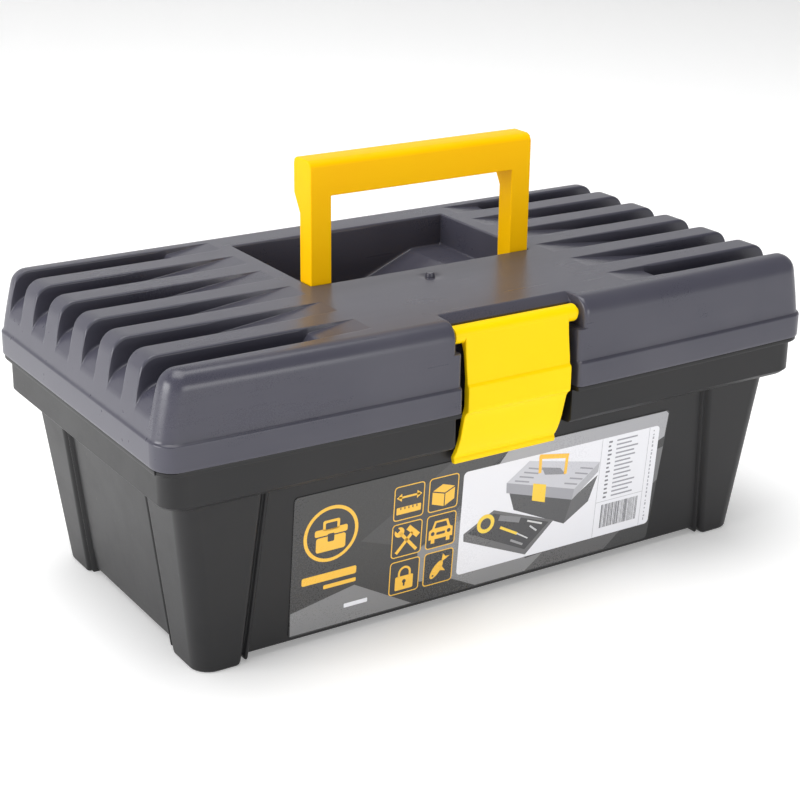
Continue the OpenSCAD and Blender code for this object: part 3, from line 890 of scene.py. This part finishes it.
lid = cup("lid_shell", len(line_x), len(line_y), lid_top(0.0), outer + list(reversed(inner)), lid_top(wall),
          ("floor", "inset"))
grey_plastic = moulded("blue-grey polypropylene", (0.054, 0.053, 0.073), (0.074, 0.072, 0.092), 0.27,
                       shine=0.45)

# every point between two ridges sinks to the channel's floor, by the shape of a ridge's side
channels, given = shape_tree("channels", Pitch="Float", Ridge_width="Float", Edge_out="Float",
                             Side_run="Float")
here = channels.node("GeometryNodeInputPosition")
floor = channels.node("GeometryNodeInputNamedAttribute", {"data_type": "FLOAT_VECTOR"}, {"Name": "floor"})
inset = channels.node("GeometryNodeInputNamedAttribute", {"data_type": "FLOAT"}, {"Name": "inset"}) * MM
along = channels.node("ShaderNodeSeparateXYZ", {}, {0: here}, out="Y") / given["Pitch"]
along = channels.node("ShaderNodeClamp", {}, {"Value": along, "Min": -3.0, "Max": 3.0})
nearest = channels.node("ShaderNodeMath", {"operation": "ROUND"}, {0: along})
off_ridge = channels.node("ShaderNodeMath", {"operation": "ABSOLUTE"}, {0: along - nearest}) * given["Pitch"]
into = (off_ridge - given["Ridge width"] * 0.5 + inset + given["Edge out"]) / given["Side run"]
side_run = rib_edge[0][0] - rib_edge[-1][0]
curve = [((rib_edge[0][0] - off) / side_run, share) for off, share in rib_edge]
sunk = channels.node("ShaderNodeFloatCurve", {"curve": curve}, {"Value": into})
moved = channels.node("ShaderNodeMix", {"data_type": "VECTOR"}, {0: sunk, 4: here, 5: floor}, out=1)
shaped = channels.node("GeometryNodeSetPosition", {}, {"Geometry": given["Geometry"], "Position": moved})
grow(lid, finish_tree(channels, shaped, grey_plastic), Pitch=pitch * MM, Ridge_width=ridge * MM,
     Edge_out=rib_edge[0][0] * MM, Side_run=side_run * MM)
for key in ("floor", "inset"):
    lid.data.attributes.remove(lid.data.attributes[key])
for point in lid.data.vertices:
    point.co = leaned(point.co)
soften(lid)
bound(lid, "lid", "lid", grey_plastic, "lid")


def spindle(name, profile, steps=32):
    """A closed turned form along X from (place, radius) pairs about the line y = z = 0."""
    points = [(x, r * cos(a), r * sin(a)) for x, r in profile for a in
              (tau * k / steps for k in range(steps))]
    faces = [[p + k, p + (k + 1) % steps, p + steps + (k + 1) % steps, p + steps + k]
             for p in range(0, steps * (len(profile) - 1), steps) for k in range(steps)]
    faces += [list(range(steps)), [(len(profile) - 1) * steps + k for k in range(steps)]]
    return new_piece(name, points, faces)


def placed(piece, x, y, z, turn=Matrix()):
    """Turns and moves a finished shape for good, with the piece itself left at the origin."""
    piece.data.transform(Matrix.Translation((x * MM, y * MM, z * MM)) @ turn)
    return piece


def barrel_of(length, r, soft=0.5, half_soft=0.15):
    """Places and radii along a plain barrel with softened ends."""
    h = length / 2
    half = [(h - soft, r), (h - half_soft, r - half_soft), (h, r - soft)]
    return [(-x, radius) for x, radius in reversed(half)] + half


# where the plastic was let into the mould: a small cut-off stub in a shallow dish
stub = placed(spindle("gate_stub", [(-0.9, 2.1), (0.6, 1.95), (1.3, 1.85), (1.6, 1.5), (1.5, 0.6)]),
              nub_x, nub_y, top_z, Matrix.Rotation(-pi / 2, 4, "Y"))
soften(stub)
bound(stub, "lid", "lid", grey_plastic)

# -------- hinges
# Two hinges at the back. Each has one long knuckle on the lid between two short ones on the tub, moulded
# with them, and a drawn steel wire pin pushed through all three.

hinge_y, hinge_z, hinge_x, knuckle_r = 80.6, rim_z, 92.0, 2.9
lid_knuckle, tub_knuckle, knuckle_gap = 16.0, 9.0, 0.3

knuckles, given = shape_tree("knuckles", Middle="Float", Reach="Float", Hinge_y="Float", Hinge_z="Float")
spots = [knuckles.node("ShaderNodeCombineXYZ", {}, {0: given["Middle"] * a + given["Reach"] * b,
                                                    1: given["Hinge y"], 2: given["Hinge z"]})
         for a, b in ((-1, -1), (-1, 1), (1, -1), (1, 1))]
places = [knuckles.node("GeometryNodeTransform", {}, {"Geometry": given["Geometry"], "Translation": spot})
          for spot in spots]
joined = knuckles.tree.nodes.new("GeometryNodeJoinGeometry")
for place in places:
    knuckles.tree.links.new(place.socket, joined.inputs[0])
merged = Value(knuckles, joined.outputs[0])
for name, body, slot, length, reach, plastic in (
        ("tub_knuckles", "box", "tub", tub_knuckle, (lid_knuckle + tub_knuckle) / 2 + knuckle_gap,
         black_plastic),
        ("lid_knuckles", "lid", "lid", lid_knuckle / 2, lid_knuckle / 4 - 0.01, grey_plastic)):
    knuckle = spindle(name, barrel_of(length, knuckle_r, 0.4, 0.12), 40)
    grow(knuckle, finish_tree(knuckles, merged, plastic), Middle=hinge_x * MM, Reach=reach * MM,
         Hinge_y=hinge_y * MM, Hinge_z=hinge_z * MM)
    for ending in list(knuckles.tree.nodes)[-3:]:
        knuckles.tree.nodes.remove(ending)
    soften(knuckle)
    bound(knuckle, body, slot, plastic)

steel = Finish("drawn steel wire", Metallic=1.0)
drawn = steel.noise(900, 3, (0.02, 1, 1))
steel.surface(steel.colours(drawn, (0.46, 0.46, 0.47, 1), (0.62, 0.61, 0.60, 1)), drawn * 0.2 + 0.22,
              ((drawn, 0.004),))
for name in ("hinge_pin_left", "hinge_pin_right"):
    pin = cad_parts[name].data
    pin.materials.clear()
    pin.materials.append(steel.material)

# -------- handle
# A solid bail moulded in warm yellow plastic. Its legs end in round eyes with trunnions that snap into the
# walls of the lid's well; the grip is deeper than the legs, and everything the hand meets is rounded.

pivot_y, pivot_z = -5.3, 125.0
handle_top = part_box("handle")[1].z / MM
handle_x, leg_in, trunnion_x = 54.2, 44.6, 54.9
grip_z = handle_top - 14.2
grip_front, grip_back, leg_back, eye_r = -10.1, 3.7, -1.0, 4.8

eye = [(pivot_z - eye_r * sin(a), pivot_y - eye_r * cos(a), pivot_y + eye_r * cos(a) * 0.93)
       for a in map(radians, (84, 66, 44, 22))]
slices = [*eye, (pivot_z, grip_front, leg_back - 0.1), (pivot_z + 8, grip_front, leg_back),
          (grip_z - 8.5, grip_front, leg_back), (grip_z - 0.6, grip_front, grip_back),
          (handle_top - 2.9, grip_front, grip_back), (handle_top - 1.0, grip_front + 0.9, grip_back - 0.5),
          (handle_top, grip_front + 3.0, grip_back - 2.2)]
across_x = (-handle_x, -leg_in, leg_in, handle_x)
shoulder = len(slices) - 4
points = [(x, y, z) for z, front, back in slices for x in across_x for y in (front, back)]
faces = []
for s in range(len(slices) - 1):
    low, high = s * 8, s * 8 + 8
    for column in (0, 1, 2):
        if column == 1 and s < shoulder:
            continue
        a, b = column * 2, column * 2 + 2
        faces += [[low + a, low + b, high + b, high + a],
                  [low + a + 1, high + a + 1, high + b + 1, low + b + 1]]
        if s == 0 or (column == 1 and s == shoulder):
            faces.append([low + a, low + a + 1, low + b + 1, low + b])
        if s == len(slices) - 2:
            faces.append([high + a, high + b, high + b + 1, high + a + 1])
    faces += [[low, high, high + 1, low + 1], [low + 6, low + 7, high + 7, high + 6]]
    if s < shoulder:
        faces += [[low + 2, low + 3, high + 3, high + 2], [low + 4, high + 4, high + 5, low + 5]]
handle = new_piece("handle_bail", points, faces)
rounded = handle.modifiers.new("rounded", "BEVEL")
rounded.width, rounded.segments, rounded.angle_limit = 1.5 * MM, 4, radians(50)
rounded.use_clamp_overlap = True
soften(handle, 50)
warm_yellow = moulded("warm yellow plastic", (1.0, 0.52, 0.0), (1.0, 0.57, 0.0), 0.36, 0.006, shine=0.07)
bound(handle, "handle", "handle", warm_yellow, "handle")
for side, name in ((-1, "trunnion_left"), (1, "trunnion_right")):
    trunnion = placed(spindle(name, barrel_of(5.4, 3.0)), side * trunnion_x, pivot_y, pivot_z)
    soften(trunnion)
    bound(trunnion, "handle", "handle", warm_yellow)

# -------- latch
# The latch is moulded in lemon yellow plastic: a thin S-shaped plate under a round barrel that turns in
# two sockets of the lid's bay. A raised band stiffens its middle, and a lip at its foot snaps under the
# tub's collar.

barrel_y, barrel_z, barrel_r = -75.5, 123.5, 3.6
latch_half = 25.0
bent_r = barrel_r - 0.06
barrel_top = [(barrel_y + bent_r * cos(a), barrel_z + bent_r * sin(a))
              for a in (radians(-20 + 20 * k) for k in range(11))]
latch_outside = [(-79.2, 120), (-79.5, 116), (-80.1, 111.5), (-80.8, 107), (-81.0, 104.3),
                 (-81.3, 103.9), (-82.0, 103.4), (-82.2, 102.6), (-82.2, 93.4), (-82.0, 92.6), (-81.0, 91.8),
                 (-80.5, 91.3), (-79.7, 90), (-79.0, 87.4), (-78.1, 83.8), (-77.2, 80.2), (-76.1, 76.9),
                 (-74.9, 74.0), (-73.5, 71.5), (-72.7, 70.6), (-72.9, 70.0), (-73.2, 69.5), (-73.2, 68.2),
                 (-72.9, 67.8)]
latch_inside = [(-71.3, 67.6), (-70.9, 68.1), (-70.3, 70.2), (-71.5, 72.3), (-72.9, 74.8), (-74.1, 77.6),
                (-75.1, 81.0), (-75.9, 84.5), (-77.0, 89.5), (-78.0, 92.2), (-78.6, 94.4), (-78.7, 106),
                (-78.1, 111), (-77.4, 116), (-76.0, 119.3), (-74.4, 121.0)]
outline = barrel_top + latch_outside + latch_inside
count = len(outline)
cuts = [-latch_half, -latch_half + 1.2, latch_half - 1.2, latch_half]
points = [(x, y, z) for x in cuts for y, z in outline]
faces = [[c + k, c + (k + 1) % count, c + count + (k + 1) % count, c + count + k]
         for c in range(0, count * (len(cuts) - 1), count) for k in range(count)]
faces += [list(range(count)), [(len(cuts) - 1) * count + k for k in range(count)]]
latch = new_piece("latch_plate", points, faces)
rounded = latch.modifiers.new("rounded", "BEVEL")
rounded.width, rounded.segments, rounded.angle_limit = 0.45 * MM, 3, radians(60)
soften(latch, 50)
lemon_yellow = moulded("lemon yellow plastic", (1.0, 0.66, 0.0), (1.0, 0.71, 0.0), 0.32, 0.005, shine=0.15)
bound(latch, "latch", "latch", lemon_yellow, "latch")
for name, length, r in (("latch_barrel", 59.2, barrel_r), ("latch_spindle", 65.6, 1.8)):
    rod = placed(spindle(name, barrel_of(length, r, 0.7, 0.2)), 0, barrel_y, barrel_z)
    soften(rod)
    bound(rod, "latch", "latch", lemon_yellow)

# -------- floor, lights and camera
# A plain pale floor that sweeps up behind, a large soft light overhead, one on the left, a weaker one
# low in front, and white surroundings.

floor_mesh = bpy.data.meshes.new("floor")
floor_front, floor_half, bend_y, bend_r, sweep_top = -10.0, 10.0, 1.6, 0.8, 3.0
bend = [(bend_y + bend_r * sin(a), bend_r * (1 - cos(a))) for a in
        (radians(10 * k) for k in range(10))]
sweep = [(floor_front, 0.0), *bend, (bend_y + bend_r, sweep_top)]
floor_mesh.from_pydata([(x, y, z) for y, z in sweep for x in (-floor_half, floor_half)], [],
                       [(2 * k, 2 * k + 1, 2 * k + 3, 2 * k + 2) for k in range(len(sweep) - 1)])
paper = Finish("pale paper", Roughness=0.9, Emission_Color=(1, 1, 1, 1), Emission_Strength=0.22)
paper.surface(paper.colours(paper.noise(3, 2), (0.93, 0.93, 0.93, 1), (0.95, 0.95, 0.95, 1)))
floor_mesh.materials.append(paper.material)
added("floor", floor_mesh)

world = bpy.data.worlds.new("white room")
world.use_nodes = True
world.node_tree.nodes["Background"].inputs["Color"].default_value = (1, 1, 1, 1)
world.node_tree.nodes["Background"].inputs["Strength"].default_value = 0.26
scene.world = world
scene.view_settings.view_transform = "Standard"


def soft_light(name, place, target, size, power):
    light = bpy.data.lights.new(name, "AREA")
    light.shape, light.size, light.size_y, light.energy = "RECTANGLE", size[0], size[1], power
    lamp = added(name, light)
    lamp.visible_camera = False
    aim = Vector(target) - Vector(place)
    lamp.matrix_world = Matrix.Translation(place) @ aim.to_track_quat("-Z", "Y").to_matrix().to_4x4()


soft_light("overhead", (-0.1, 0.1, 1.6), (0, 0, 0.1), (1.4, 1.2), 22)
soft_light("left side", (-1.5, 0.1, 0.4), (0, 0, 0.08), (1.0, 0.7), 17)
soft_light("front fill", (0.2, -1.6, 0.3), (0, 0, 0.08), (1.2, 0.5), 9)

view = bpy.data.cameras.new("camera")
view.sensor_width = 36.0
view.lens = 81.35
camera = added("camera", view)
ahead = Vector((0.5047, 0.7875, -0.3537)).normalized()
up = Vector((0.1804, 0.3045, 0.9353))
right = ahead.cross(up).normalized()
up = right.cross(ahead)
camera.matrix_world = Matrix.Translation((-0.4025, -0.6214, 0.3466)) @ Matrix(
    (right, up, -ahead)).transposed().to_4x4()
scene.camera = camera
